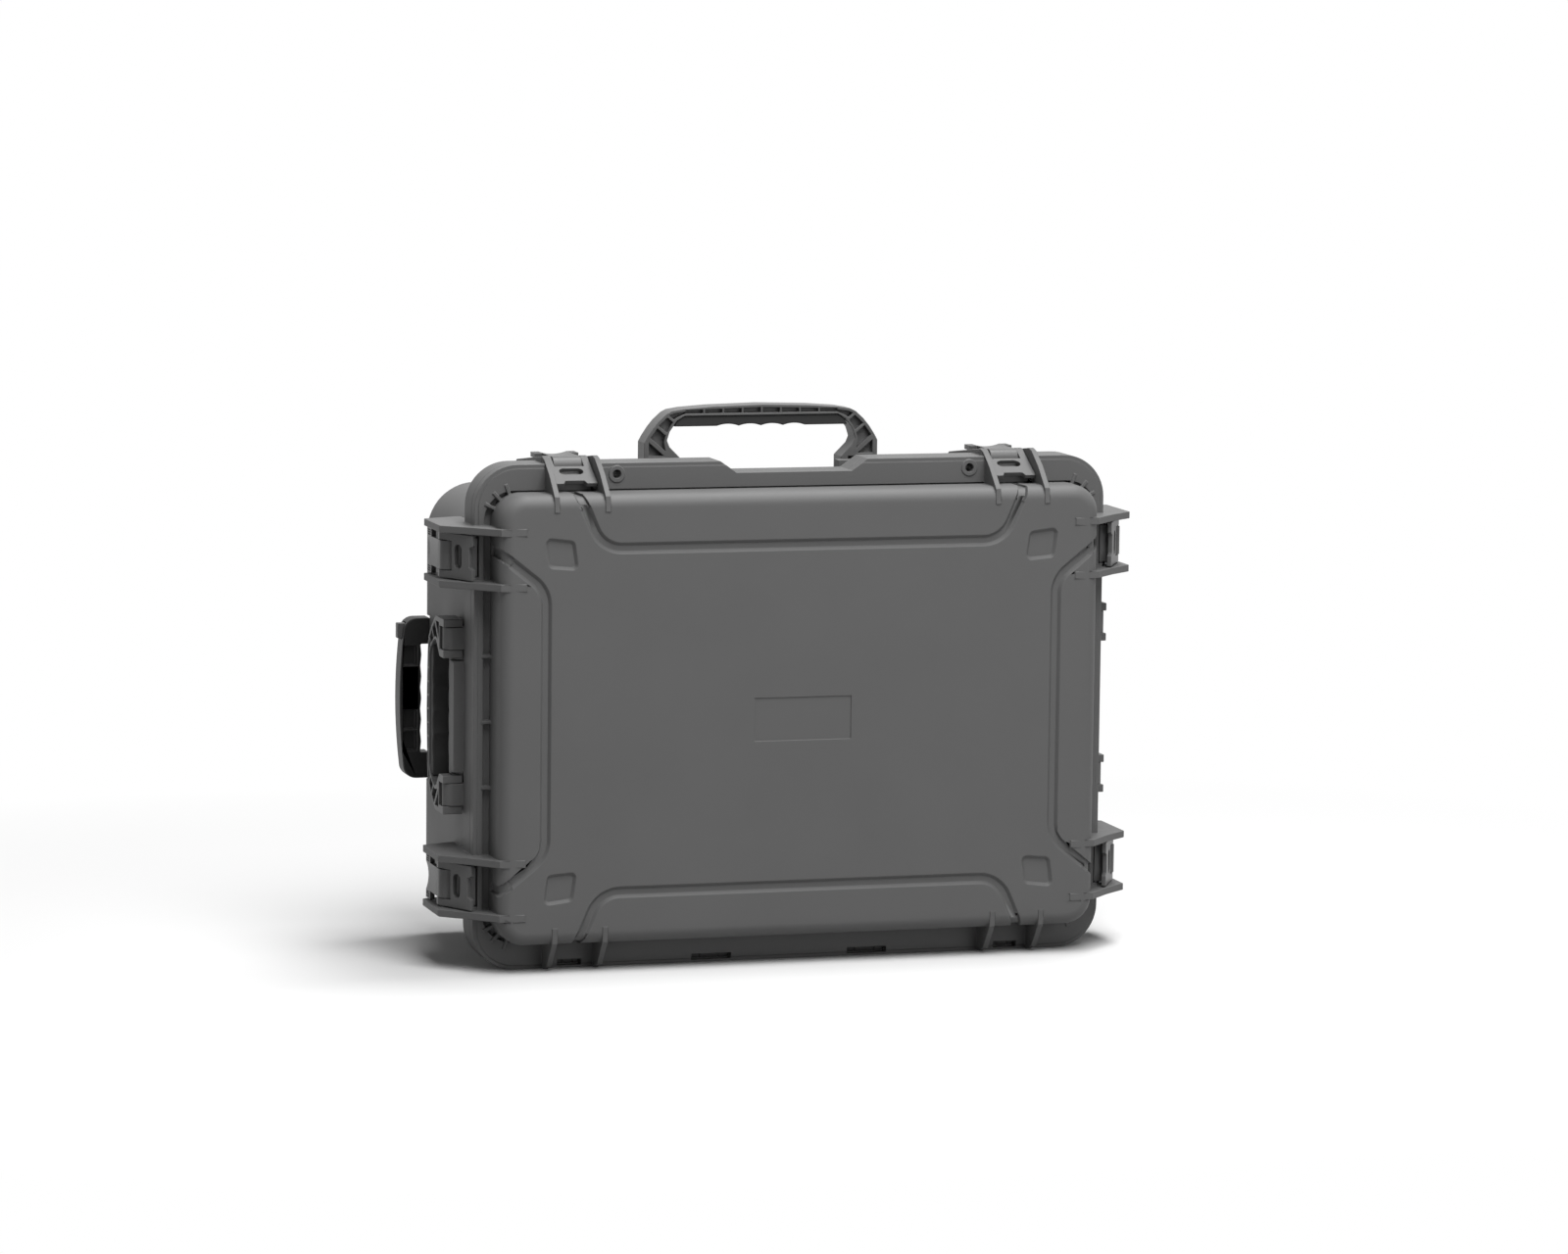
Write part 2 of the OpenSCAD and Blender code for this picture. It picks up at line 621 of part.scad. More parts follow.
module laptop_tray() {
    x0 = -laptop_w / 2 - 40;
    y0 = 227 - laptop_h / 2;
    slot_h = laptop_h / 2 - 8;
    color(FOAM) stand() difference() {
        tray_layer(tray_top - laptop_d, tray_top);
        translate([0, 0, tray_top - laptop_d - 1]) {
            translate([x0, y0, 0]) cube([laptop_w, laptop_h, laptop_d + 2]);
            for (y = [y0, y0 + laptop_h])
                translate([x0 + laptop_w / 2, y, 0]) cylinder(r = 24, h = laptop_d + 2, $fn = 48);
            for (y = [y0, y0 + laptop_h - slot_h])
                translate([x0 + laptop_w + 22, y, 0]) cube([68, slot_h, laptop_d + 2]);
        }
    }
}

module hinge_pins() {
    color(STEEL) stand() both_sides() for (h = [wide_hinge, narrow_hinge])
        translate([h[0] + 0.3, hinge_y, z_part]) rotate([0, 90, 0])
            cylinder(r = pin_r, h = h[3] - h[0] - 0.6, $fn = 48);
}

module latch_pivot_pins() {
    color(STEEL) stand() for (p = LATCH_AT)
        translate([p[0], p[1], 0]) rotate(p[2]) translate([pivot_u, -24.5, pivot_z])
            rotate([-90, 0, 0]) cylinder(r = pin_r, h = 49, $fn = 32);
}

// Latch parts, drawn with x out from the catch edge and y along it

module at_latch(i) {
    stand() translate([LATCH_AT[i][0], LATCH_AT[i][1], 0]) rotate(LATCH_AT[i][2]) children();
}

// Round bar along the edge, centred on the latch
module cross_bar(u, z, r, w) {
    translate([u, -w / 2, z]) rotate([-90, 0, 0]) cylinder(r = r, h = w, $fn = 48);
}

module lever() {
    color(PLASTIC) difference() {
        union() {
            cross_bar(joint_u, joint_z, hub_r, 2 * stem_w);
            cross_bar(pivot_u, pivot_z, 5, 2 * stem_w);
            translate([0, stem_w, 0]) rotate([90, 0, 0]) linear_extrude(2 * stem_w)
                polygon([[pivot_u - 4, pivot_z - 3], [joint_u - 7.4, joint_z - 5.6],
                    [joint_u + 7.4, joint_z + 5.6], [pivot_u + 3.2, pivot_z + 2.2]]);
            translate([latch_out - plate_t, -stem_w, z_part - 46.4]) cube([plate_t, 2 * stem_w, 31]);
            translate([latch_out - plate_t - 3, -stem_w + 3, z_part - 50]) cube([4, 2 * stem_w - 6, 30]);
            translate([latch_out - plate_t, -latch_w / 2, z_part - 62.4]) cube([plate_t, latch_w, 16.2]);
        }
        translate([latch_out + 35.6, 0, z_part - 63]) cylinder(r = 37.9, h = 43, $fn = 96);
        for (s = [-1, 1]) for (w = [14.2, 16.2, 18.2])
            translate([latch_out - 1, s * w - 0.5, z_part - 60]) cube([3, 1, 11]);
        cross_bar(pivot_u, pivot_z, pin_r + pin_fit, latch_w);
        cross_bar(joint_u, joint_z, pin_r + pin_fit, latch_w);
    }
}

// Unit vector along the claw's sloping plate, from its root to its tip, and the one out of its face
slope = (claw_tip - claw_root) / norm(claw_tip - claw_root);
face_out = [slope[1], -slope[0]];

module claw() {
    inner_tip = claw_tip - 4 * face_out;
    inner_root = [latch_out - 4, joint_z - 2];
    color(PLASTIC) difference() {
        union() {
            translate([0, latch_w / 2, 0]) rotate([90, 0, 0]) linear_extrude(latch_w)
                polygon([claw_tip, claw_root, [latch_out, z_part - 21.2], [latch_out - 4, z_part - 21.2],
                    inner_root, inner_tip]);
            translate([nose_u, -17, catch_z + 0.3]) cube([12, 34, 5.3]);
            cross_bar(joint_u, joint_z, 5.2, latch_w);
        }
        cross_bar(joint_u, joint_z, claw_gap_r, 2 * stem_w + 0.8);
        translate([latch_out - 12, -stem_w - 0.4, z_part - 30]) cube([20, 2 * stem_w + 0.8, 16]);
        cross_bar(joint_u, joint_z, pin_r + pin_fit, 60);
        translate([claw_root[0], 0, claw_root[1]]) rotate([0, atan2(slope[0], slope[1]), 0]) {
            for (w = [-6.2, 6.2]) translate([-9, w, 24.5]) rotate([0, 90, 0])
                cylinder(r = 4.6, h = 14, $fn = 32);
            translate([-9, -6.2, 24.5 - 4.6]) cube([14, 12.4, 9.2]);
            translate([-9, 0, norm(claw_tip - claw_root)]) rotate([0, 90, 0]) linear_extrude(14)
                polygon([[-1, -11], [4.5, -8.5], [4.5, 8.5], [-1, 11]]);
        }
    }
}

module claw_pin() {
    color(STEEL) cross_bar(joint_u, joint_z, pin_r, latch_w - 1);
}

// Handles, drawn about the pivot axis x with the grip up +y and the thickness along z

function handle_outer(w, r) = [[w, -foot_drop], [w, r - 34], [w - 3, r - 28.5], [w - 8, r - 21],
    [w - 13.5, r - 14.3], [w - 21, r - 7.5], [w - 26, r - 5], [w - 37, r - 3.2], [w - 63, r - 1.3]];
function handle_inner(w, r) = [[w - 38, r - 10], [w - 31, r - 14], [w - 24, r - 24], [w - 21.5, r - 32],
    [w - 24, r - 38], [w - foot_w, r - 49], [w - foot_w, -foot_drop]];
function flip(points) = [for (i = [len(points) - 1:-1:0]) [-points[i][0], points[i][1]]];
function bar_top(x, w, r) = r - 2.8 - 1.3 * abs(x) / (w - 63);

// Pockets that lighten one face of a handle, between its ribs
module handle_pockets(w, r) {
    both_sides() {
        polygon([[w - 4.5, r - 34], [w - 4.5, r - 46], [w - 18.5, r - 46]]);
        polygon([[w - 6, r - 29.5], [w - 12.3, r - 21], [w - 20, r - 27.5], [w - 18.5, r - 33],
            [w - 20, r - 41.5]]);
        polygon([[w - 13.8, r - 18.6], [w - 21.5, r - 11.3], [w - 27, r - 15.5], [w - 21.5, r - 24.8]]);
        polygon([[w - 23.6, r - 9.3], [w - 28, r - 7.6], [w - 39, r - 5.9], [w - 39, r - 7.6],
            [w - 32, r - 10.5], [w - 28, r - 13]]);
    }
    step = (2 * w - 76) / 8;
    for (i = [0:7]) let (x0 = 38 - w + step * i + 0.9, x1 = x0 + step - 1.8)
        polygon([[x0, r - 7.6], [x1, r - 7.6], [x1, bar_top(x1, w, r)], [x0, bar_top(x0, w, r)]]);
}

module handle(w, r, t) {
    color(PLASTIC) difference() {
        translate([0, 0, -t / 2]) linear_extrude(t)
            polygon(concat(handle_outer(w, r), [[0, r]], flip(handle_outer(w, r)),
                flip(handle_inner(w, r)), handle_inner(w, r)));
        translate([0, 0, t / 2 - 6]) linear_extrude(7) handle_pockets(w, r);
        translate([0, 0, -t / 2 - 1]) linear_extrude(7) handle_pockets(w, r);
        both_sides() {
            translate([w - foot_w / 2 - lug_w / 2 - 0.4, -foot_drop - 1, -t / 2 - 1])
                cube([lug_w + 0.8, foot_drop + 1 + lug_r + 1, t + 2]);
            translate([w - foot_w - 1, 0, 0]) rotate([0, 90, 0])
                cylinder(r = handle_pin_r + pin_fit, h = foot_w - 1, $fn = 48);
        }
    }
}

// Soft grip under the bar of a handle, with a scallop for each finger
module handle_grip(w, r, t) {
    half = [[w - 38.2, r - 10], [w - 32.5, r - 13.5], [w - 28.5, r - 19.5]];
    color(DARK) difference() {
        translate([0, 0, -t / 2 + 1.5]) linear_extrude(t - 3) polygon(concat(flip(half), half));
        for (i = [-1.5:1:1.5]) translate([i * 21, r - 47.7, -t]) cylinder(r = 30, h = 2 * t, $fn = 96);
    }
}

module at_top_handle() { stand() translate([0, top_pivot[0], top_pivot[1]]) children(); }
module at_side_handle(side) {
    stand() translate([side * side_pivot[0], side_mid_y, side_pivot[1]])
        rotate([0, 90, 0]) rotate(270) children();
}
module top_handle() { at_top_handle() handle(top_handle_w, top_handle_reach, top_handle_t); }
module top_handle_grip() { at_top_handle() handle_grip(top_handle_w, top_handle_reach, top_handle_t); }
module top_handle_pins() {
    color(STEEL) at_top_handle() both_sides() translate([top_handle_w - foot_w + 1, 0, 0])
        rotate([0, 90, 0]) cylinder(r = handle_pin_r, h = foot_w - 4, $fn = 48);
}
module side_handle(side) { at_side_handle(side) handle(side_handle_w, side_handle_reach, side_handle_t); }
module side_grip(side) {
    at_side_handle(side) handle_grip(side_handle_w, side_handle_reach, side_handle_t);
}
module side_handle_pins() {
    color(STEEL) for (side = [-1, 1]) at_side_handle(side) both_sides()
        translate([side_handle_w - foot_w + 1, 0, 0])
            rotate([0, 90, 0]) cylinder(r = handle_pin_r, h = foot_w - 4, $fn = 48);
}

// Trolley handle

module trolley_grip() {
    x1 = -half_w + 4;
    y0 = trolley_y - trolley_w / 2;
    y1 = trolley_y + trolley_w / 2;
    gap = [for (i = [0:10]) [grip_x + grip_bar + (i % 2), y0 + leg_w + (trolley_w - 2 * leg_w) * i / 10]];
    color(DARK) stand() difference() {
        translate([0, 0, tube_z - grip_t / 2]) linear_extrude(grip_t)
            polygon(concat([[x1, y0]], [[x1, y0 + leg_w]], gap, [[x1, y1 - leg_w]], [[x1, y1]],
                arc(grip_x + grip_bow + 12, y1 - 12, 12, 90, 180, 6),
                [for (i = [1:9]) let (t = 1 - i / 5)
                    [grip_x + grip_bow * t * t, trolley_y + t * (trolley_w / 2 - 12)]],
                arc(grip_x + grip_bow + 12, y0 + 12, 12, 180, 270, 6)));
        for (y = tube_y) translate([grip_x + 12, y, tube_z]) rotate([0, 90, 0])
            cylinder(r = tube_r + pin_fit, h = 40, $fn = 48);
        for (i = [0:4]) translate([grip_x + 4, y0 + leg_w + 2 + i * 19.6, tube_z + grip_t / 2 - 5])
            cube([grip_bar - 7.5, 17.6, 6]);
        translate([button_x - 1, tube_y[1] - 7.4, tube_z - 4.4])
            cube([button_len + button_travel + 1.6, 14.8, 8.8]);
        translate([grip_x, tube_y[1], tube_z]) rotate([0, 90, 0]) cylinder(r = 2.5, h = 30, $fn = 32);
    }
}

module trolley_tubes() {
    color(STEEL) stand() for (y = tube_y) translate([grip_x + 12.2, y, tube_z]) rotate([0, 90, 0])
        difference() {
            cylinder(r = tube_r, h = tube_len, $fn = 48);
            translate([0, 0, -1]) cylinder(r = tube_r - 1.2, h = tube_len + 2, $fn = 48);
        }
}

module trolley_sleeves() {
    color(DARK) stand() for (y = tube_y) translate([sleeve_x[0] - 0.5, y, tube_z]) rotate([0, 90, 0])
        difference() {
            cylinder(r = sleeve_r, h = sleeve_x[1] - sleeve_x[0], $fn = 48);
            translate([0, 0, -1]) cylinder(r = sleeve_bore, h = sleeve_x[1] - sleeve_x[0] + 2, $fn = 48);
        }
}

module trolley_cover() {
    color(PLASTIC) stand() difference() {
        translate([sleeve_x[0] + 1, channel[1] - 4.5, z_back])
            cube([channel[2] - sleeve_x[0] + 4, channel[3] - channel[1] + 9, 2.9]);
        for (p = cover_screw_at) translate([p[0], p[1], z_back - 1]) {
            cylinder(r = 2.2, h = 8, $fn = 32);
            cylinder(r = 4.2, h = 2.2, $fn = 32);
        }
    }
}

module trolley_cover_screws() {
    color(STEEL) stand() for (p = cover_screw_at) translate([p[0], p[1], z_back + 0.1]) difference() {
        union() {
            cylinder(r = 3.6, h = 1.1, $fn = 32);
            cylinder(r = 1.6, h = 9, $fn = 32);
        }
        translate([-2.4, -0.5, -0.5]) cube([4.8, 1, 1]);
        translate([-0.5, -2.4, -0.5]) cube([1, 4.8, 1]);
    }
}

module release_button() {
    color(PLASTIC) stand() translate([button_x, tube_y[1] - 7, tube_z - 4]) cube([button_len, 14, 8]);
}

module release_rod() {
    color(STEEL) stand() translate([button_x + button_len, tube_y[1], tube_z]) rotate([0, 90, 0])
        cylinder(r = 2, h = tube_len, $fn = 32);
}

// Wheels, drawn about the axle along y

module at_wheel(s) {
    stand() translate([wheel_x, wheel_mid_y + s * wheel_y, wheel_z]) rotate([-90, 0, 0]) children();
}

module wheel_hub() {
    color(PLASTIC) difference() {
        union() {
            translate([0, 0, -wheel_w / 2 + 2]) cylinder(r = wheel_r - 7, h = wheel_w - 4, $fn = 64);
            translate([0, 0, -wheel_w / 2]) cylinder(r = 8, h = wheel_w, $fn = 48);
        }
        for (s = [0, 1]) mirror([0, 0, s]) translate([0, 0, wheel_w / 2 - 7]) difference() {
            cylinder(r = wheel_r - 10, h = 8, $fn = 64);
            translate([0, 0, -1]) cylinder(r = 8, h = 10, $fn = 48);
            for (a = [0:60:300]) rotate(a) translate([0, -1.5, -1]) cube([wheel_r - 8, 3, 10]);
        }
        translate([0, 0, -wheel_w]) cylinder(r = axle_r + 0.08, h = 2 * wheel_w, $fn = 48);
    }
}

module wheel_tyre() {
    color(RUBBER) rotate_extrude($fn = 96) translate([wheel_r - 7, -wheel_w / 2 + 1])
        polygon(concat([[0, 0]], arc(4, 3, 3, 270, 360, 4), arc(4, wheel_w - 5, 3, 0, 90, 4),
            [[0, wheel_w - 2]]));
}

module wheel_axles() {
    color(STEEL) for (s = [-1, 1]) at_wheel(s)
        translate([0, 0, -17.5]) cylinder(r = axle_r, h = 35, $fn = 48);
}

module rubber_feet() {
    color(RUBBER) stand() for (p = FOOT_AT)
        translate([p[0], p[1], z_foot]) cylinder(r = foot_r, h = foot_h, $fn = 48);
}

module valve_body() {
    color(DARK) stand() translate([0, base_box[3], 15]) rotate([-90, 0, 0]) difference() {
        union() {
            cylinder(r = 11, h = 4, $fn = 48);
            translate([0, 0, -wall]) cylinder(r = 5.9, h = wall + 1, $fn = 32);
        }
        translate([0, 0, -wall - 1]) cylinder(r = 2, h = 12, $fn = 32);
    }
}

module valve_cap() {
    color(RUBBER) stand() translate([0, base_box[3] + 4, 15]) rotate([-90, 0, 0]) difference() {
        cylinder(r = 8.5, h = 4.5, $fn = 48);
        for (a = [0:45:315]) rotate(a) translate([9.2, 0, 1]) cylinder(r = 1.6, h = 5, $fn = 24);
    }
}

lid_shell();
lid_gasket();
lid_foam();
base_back();
base_wall_top();
base_wall_bottom();
base_wall_left();
base_wall_right();
base_foam();
tray_backing();
laptop_tray();
hinge_pins();
latch_pivot_pins();
at_latch(0) lever();  // lever_top_left
at_latch(1) lever();  // lever_top_right
at_latch(2) lever();  // lever_left_upper
at_latch(3) lever();  // lever_left_lower
at_latch(4) lever();  // lever_right_upper
at_latch(5) lever();  // lever_right_lower
at_latch(0) claw();  // claw_top_left
at_latch(1) claw();  // claw_top_right
at_latch(2) claw();  // claw_left_upper
at_latch(3) claw();  // claw_left_lower
at_latch(4) claw();  // claw_right_upper
at_latch(5) claw();  // claw_right_lower
at_latch(0) claw_pin();  // claw_pin_top_left
at_latch(1) claw_pin();  // claw_pin_top_right
at_latch(2) claw_pin();  // claw_pin_left_upper
at_latch(3) claw_pin();  // claw_pin_left_lower
at_latch(4) claw_pin();  // claw_pin_right_upper
at_latch(5) claw_pin();  // claw_pin_right_lower
top_handle();
top_handle_grip();
top_handle_pins();
side_handle(-1);  // side_handle_left
side_grip(-1);  // side_handle_left_grip
side_handle(1);  // side_handle_right
side_grip(1);  // side_handle_right_grip
side_handle_pins();
trolley_grip();
trolley_tubes();
trolley_sleeves();
trolley_cover();
trolley_cover_screws();
release_button();
release_rod();
at_wheel(1) wheel_hub();  // wheel_hub_upper
at_wheel(-1) wheel_hub();  // wheel_hub_lower
at_wheel(1) wheel_tyre();  // wheel_tyre_upper
at_wheel(-1) wheel_tyre();  // wheel_tyre_lower
wheel_axles();
rubber_feet();
valve_body();
valve_cap();
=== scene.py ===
from math import cos, pi, radians, sin, sqrt

import bmesh
import bpy
from mathutils import Matrix, Vector


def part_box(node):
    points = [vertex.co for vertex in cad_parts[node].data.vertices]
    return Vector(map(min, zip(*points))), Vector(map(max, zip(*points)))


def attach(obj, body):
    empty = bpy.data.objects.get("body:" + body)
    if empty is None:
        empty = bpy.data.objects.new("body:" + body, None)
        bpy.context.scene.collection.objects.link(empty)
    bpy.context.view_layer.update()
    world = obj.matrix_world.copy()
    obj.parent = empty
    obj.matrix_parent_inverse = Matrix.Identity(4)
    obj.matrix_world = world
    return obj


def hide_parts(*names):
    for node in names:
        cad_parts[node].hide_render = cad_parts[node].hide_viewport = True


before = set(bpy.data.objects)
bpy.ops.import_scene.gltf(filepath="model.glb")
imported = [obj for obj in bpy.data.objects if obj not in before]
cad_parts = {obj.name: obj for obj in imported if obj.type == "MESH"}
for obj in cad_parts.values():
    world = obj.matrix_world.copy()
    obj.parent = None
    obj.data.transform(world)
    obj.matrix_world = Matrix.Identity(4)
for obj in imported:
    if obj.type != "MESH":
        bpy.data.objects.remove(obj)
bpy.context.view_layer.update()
scene = bpy.context.scene

# Camera: a long lens, a little above the case and to its left, so that the left side and the top
# edge show. Place, turn and focal length were solved from the photograph's straight edges.
yaw, pitch, roll = radians(16.692), radians(7.060), radians(0.628)
viewpoint = (-1.5737, -5.3085, 0.9780)
ahead = Vector((sin(yaw) * cos(pitch), cos(yaw) * cos(pitch), -sin(pitch)))
right = Vector((cos(yaw), -sin(yaw), 0))
up = right.cross(ahead)
camera_right = cos(roll) * right + sin(roll) * up
camera_up = cos(roll) * up - sin(roll) * right
lens = bpy.data.cameras.new("camera")
lens.sensor_width = 36
lens.lens = 140.08
lens.clip_start, lens.clip_end = 0.1, 60
camera = bpy.data.objects.new("camera", lens)
camera.matrix_world = Matrix.Translation(viewpoint) @ Matrix(
    (camera_right, camera_up, -ahead)).transposed().to_4x4()
scene.collection.objects.link(camera)
scene.camera = camera
scene.view_settings.view_transform = "Standard"


def linear(colour):
    """An sRGB hex colour as linear RGBA."""
    parts = [int(colour[i:i + 2], 16) / 255 for i in (1, 3, 5)]
    return [c / 12.92 if c <= 0.04045 else ((c + 0.055) / 1.055) ** 2.4 for c in parts] + [1]


def add(tree, kind, values, **settings):
    """Adds a node to a tree, with its settings and with a value or a link for each named socket."""
    new = tree.nodes.new(kind)
    for key, value in settings.items():
        setattr(new, key, value)
    for key, value in values.items():
        if isinstance(value, bpy.types.NodeSocket):
            tree.links.new(value, new.inputs[key])
        else:
            new.inputs[key].default_value = value
    return new


def material(name):
    """An empty node material and its tree, with the object's own coordinates."""
    made = bpy.data.materials.new(name)
    made.use_nodes = True
    made.node_tree.nodes.clear()
    place = add(made.node_tree, "ShaderNodeTexCoord", {}).outputs["Object"]
    return made, made.node_tree, place


def finish_material(tree, shader):
    add(tree, "ShaderNodeOutputMaterial", {"Surface": shader})


# Studio: a white sweep and large soft lamps. To the camera and to gloss the sweep keeps the case's
# shadow near it and turns to plain white further out. It throws light back as pale grey paper does.
footprint = (0.3, 0.12, 0)
white_begins, white_whole = 0.1, 0.9
studio_white, tree, place = material("studio_white_paper")
paper = add(tree, "ShaderNodeBsdfDiffuse", {"Color": linear("#e0e0e0")}).outputs[0]
glow = add(tree, "ShaderNodeEmission", {"Color": [1, 1, 1, 1], "Strength": 0.02}).outputs[0]
near_paper = add(tree, "ShaderNodeAddShader", {0: paper, 1: glow}).outputs[0]
outward = add(tree, "ShaderNodeVectorMath", {0: place}, operation="ABSOLUTE").outputs[0]
outward = add(tree, "ShaderNodeVectorMath", {0: outward, 1: footprint},
              operation="SUBTRACT").outputs[0]
outward = add(tree, "ShaderNodeVectorMath", {0: outward, 1: (0, 0, 0)},
              operation="MAXIMUM").outputs[0]
away = add(tree, "ShaderNodeVectorMath", {0: outward}, operation="LENGTH").outputs["Value"]
fade = add(tree, "ShaderNodeMapRange", {"Value": away, "From Min": white_begins,
           "From Max": white_whole}).outputs[0]
white_sweep = add(tree, "ShaderNodeEmission", {"Color": [1, 1, 1, 1], "Strength": 1}).outputs[0]
shown = add(tree, "ShaderNodeMixShader", {0: fade, 1: near_paper, 2: white_sweep}).outputs[0]
grey_paper = add(tree, "ShaderNodeBsdfDiffuse", {"Color": linear("#9c9c9c")}).outputs[0]
rays = add(tree, "ShaderNodeLightPath", {})
seen = add(tree, "ShaderNodeMath", {0: rays.outputs["Is Camera Ray"],
           1: rays.outputs["Is Glossy Ray"]}, operation="MAXIMUM").outputs[0]
finish_material(tree, add(tree, "ShaderNodeMixShader",
                {0: seen, 1: grey_paper, 2: shown}).outputs[0])
bm = bmesh.new()
bmesh.ops.create_grid(bm, x_segments=1, y_segments=1, size=20)
floor_mesh = bpy.data.meshes.new("floor")
bm.to_mesh(floor_mesh)
bm.free()
floor = bpy.data.objects.new("floor", floor_mesh)
floor_mesh.materials.append(studio_white)
scene.collection.objects.link(floor)

world = bpy.data.worlds.new("studio")
scene.world = world
world.use_nodes = True
world.node_tree.nodes.clear()
tree = world.node_tree
sky = add(tree, "ShaderNodeBackground", {"Color": [1, 1, 1, 1], "Strength": 0.1}).outputs[0]
white = add(tree, "ShaderNodeBackground", {"Color": [1, 1, 1, 1], "Strength": 1}).outputs[0]
rays = add(tree, "ShaderNodeLightPath", {})
seen = add(tree, "ShaderNodeMath", {0: rays.outputs["Is Camera Ray"],
           1: rays.outputs["Is Transmission Ray"]}, operation="MAXIMUM").outputs[0]
seen = add(tree, "ShaderNodeMath", {0: seen, 1: rays.outputs["Is Glossy Ray"]},
           operation="MAXIMUM").outputs[0]
background = add(tree, "ShaderNodeMixShader", {0: seen, 1: sky, 2: white}).outputs[0]
add(tree, "ShaderNodeOutputWorld", {"Surface": background})


def softbox(name, place, aim, size, power):
    """A square area lamp at place that points at aim."""
    lamp = bpy.data.lights.new(name, "AREA")
    lamp.size = size
    lamp.energy = power
    holder = bpy.data.objects.new(name, lamp)
    holder.matrix_world = Matrix.Translation(place) @ (
        Vector(aim) - Vector(place)).to_track_quat("-Z", "Y").to_matrix().to_4x4()
    scene.collection.objects.link(holder)


softbox("key_softbox", (0.15, -1.6, 3.0), (0, 0, 0.25), 2.0, 106)
softbox("top_softbox", (0.6, 0.2, 3.2), (0, 0, 0.3), 1.2, 72)
softbox("front_softbox", (1.6, -4.0, 1.3), (0, 0, 0.25), 2.0, 24)

# Case mouldings: the lid and the base are injection-moulded polypropylene, about 4 mm thick, each
# in one shot with its guards, fins, ribs and knuckles. The tool leaves a fine satin texture and
# small radii on every edge.


def satin_plastic(name, colour, roughness, grain, depth):
    """Moulded plastic with a fine eroded texture: grain is its pitch and depth its height, in
    metres. The gloss and the tone vary a little over a hand's width, as melt flow leaves them."""
    made, tree, place = material(name)
    flow = add(tree, "ShaderNodeTexNoise",
               {"Vector": place, "Scale": 14, "Detail": 3}).outputs["Fac"]
    tone = add(tree, "ShaderNodeMapRange", {"Value": flow, "From Min": 0.3, "From Max": 0.7,
               "To Min": 0.965, "To Max": 1.03}).outputs[0]
    base = add(tree, "ShaderNodeMix", {"Factor": 1, 6: linear(colour), 7: tone}, data_type="RGBA",
               blend_type="MULTIPLY").outputs[2]
    gloss = add(tree, "ShaderNodeMapRange", {"Value": flow, "From Min": 0.3, "From Max": 0.7,
                "To Min": roughness - 0.03, "To Max": roughness + 0.04}).outputs[0]
    skin = add(tree, "ShaderNodeTexNoise",
               {"Vector": place, "Scale": 1 / grain, "Detail": 2}).outputs["Fac"]
    bump = add(tree, "ShaderNodeBump",
               {"Height": skin, "Distance": depth, "Strength": 0.5}).outputs[0]
    finish_material(tree, add(tree, "ShaderNodeBsdfPrincipled",
                    {"Base Color": base, "Roughness": gloss, "IOR": 1.49,
                     "Specular IOR Level": 0.3, "Normal": bump}).outputs[0])
    return made


def join_flats(bm):
    """Joins the triangles of each flat into one face."""
    bmesh.ops.dissolve_limit(bm, angle_limit=radians(0.6), use_dissolve_boundaries=False,
                             verts=bm.verts, edges=bm.edges, delimit=set())


def merged_copy(*nodes):
    """The meshes of CAD nodes as one bmesh, with its doubles merged and its flats joined."""
    bm = bmesh.new()
    for node in nodes:
        bm.from_mesh(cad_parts[node].data)
    for layer in list(bm.loops.layers.uv):
        bm.loops.layers.uv.remove(layer)
    bmesh.ops.remove_doubles(bm, verts=bm.verts, dist=2e-6)
    join_flats(bm)
    return bm


def put(name, bm, body, finish, slot, *nodes):
    """Makes a piece of a bmesh. It rides on body, has that finish and stands for nodes. The slot
    argument is not used.
    """
    mesh = bpy.data.meshes.new(name)
    bm.to_mesh(mesh)
    bm.free()
    if "custom_normal" in mesh.attributes:
        mesh.attributes.remove(mesh.attributes["custom_normal"])
    mesh.shade_smooth()
    mesh.materials.append(finish)
    piece = bpy.data.objects.new(name, mesh)
    scene.collection.objects.link(piece)
    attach(piece, body)
    if nodes:
        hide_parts(*nodes)
    return piece


def weigh_edges(bm, share=lambda edge: 1):
    """Marks the edges sharper than 28 degrees for rounding, with their share of the full radius."""
    weight = bm.edges.layers.float.new("bevel_weight_edge")
    for edge in bm.edges:
        if len(edge.link_faces) == 2 and edge.calc_face_angle() > radians(28):
            edge[weight] = share(edge)


def round_edges(piece, radius, segments=2):
    """A bevel on the marked edges, with the shading kept flat on the flats."""
    bevel = piece.modifiers.new("mould_radius", "BEVEL")
    bevel.limit_method = "WEIGHT"
    bevel.width = radius
    bevel.segments = segments
    bevel.profile = 0.5
    bevel.use_clamp_overlap = False
    bevel.harden_normals = True
    bevel.miter_outer = "MITER_SHARP"


def moulding(name, node, body, finish, slot, radius, segments=2):
    """A CAD node's shape with its edges rounded to radius."""
    bm = merged_copy(node)
    weigh_edges(bm)
    piece = put(name, bm, body, finish, slot, node)
    round_edges(piece, radius, segments)
    return piece


case_plastic = satin_plastic("polypropylene_moulded_satin", "#5e5e5e", 0.56, 0.0011, 0.00006)
shell_radius, channel_foot_radius = 0.0006, 0.0003
# The lid's raised face: its plane, its channels' floor, its sides and the radius of its edge
face_plane, channel_floor = -0.123, -0.1201
raised_x, raised_z, edge_radius = 0.2795, (0.0265, 0.4295), 0.012
flat_from = edge_radius + 8e-4
# How near a vertex is to a plane, to the rounded edge and to a mouth that it lies on
near_plane, near_edge, near_mouth = 5e-5, 2e-4, 3e-4
